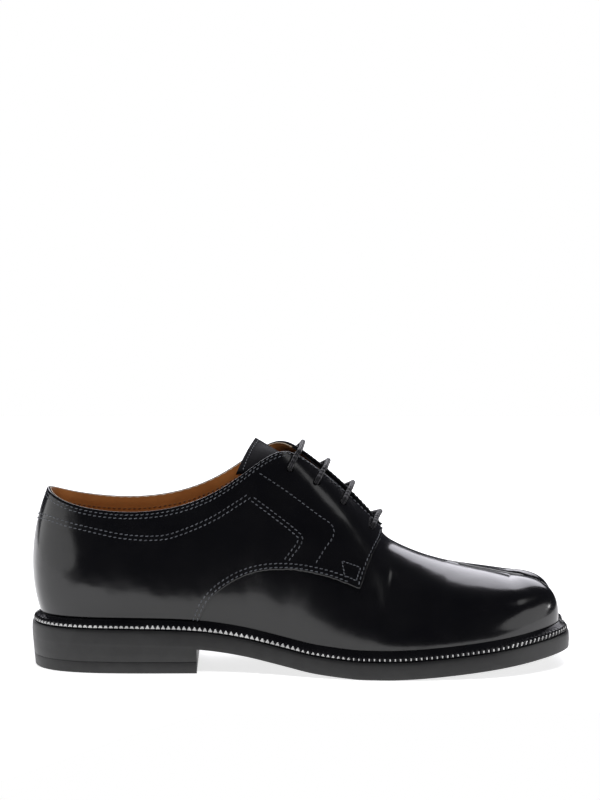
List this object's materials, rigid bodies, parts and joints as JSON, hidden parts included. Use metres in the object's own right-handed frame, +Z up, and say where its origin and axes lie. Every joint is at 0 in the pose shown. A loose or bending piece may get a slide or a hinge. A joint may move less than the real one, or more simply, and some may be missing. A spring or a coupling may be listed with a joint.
{
  "type": "split-toe derby shoe",
  "caption": "Black leather lace-up derby for the right foot, with a toe split in two lobes, a wheeled welt and a low stacked heel.",
  "frame": {"origin": "middle of the shoe's box, on the floor", "axes": "+X to the toe, +Y to the inner side of the foot, +Z up"},
  "size_m": [0.299, 0.1062, 0.1259],
  "materials": {
    "sole": "satin dark grey sole edge",
    "top_lift": "matt black rubber with fine tread",
    "welt": "black waxed welt with wheeled edge",
    "upper_leather": "high-shine brushed black leather",
    "lining": "smooth tan lining leather",
    "lace": "round braided waxed cotton"
  },
  "bodies": {
    "root": {"outsole": "sole", "heel_block": "sole", "top_lift": "top_lift", "welt": "welt", "insole": "lining", "upper": "upper_leather", "quarter_lateral": "upper_leather", "quarter_medial": "upper_leather", "tongue": "upper_leather", "lace_bar_1": "lace", "lace_bar_2": "lace", "lace_bar_3": "lace", "lace_bar_4": "lace"}
  },
  "joints": []
}
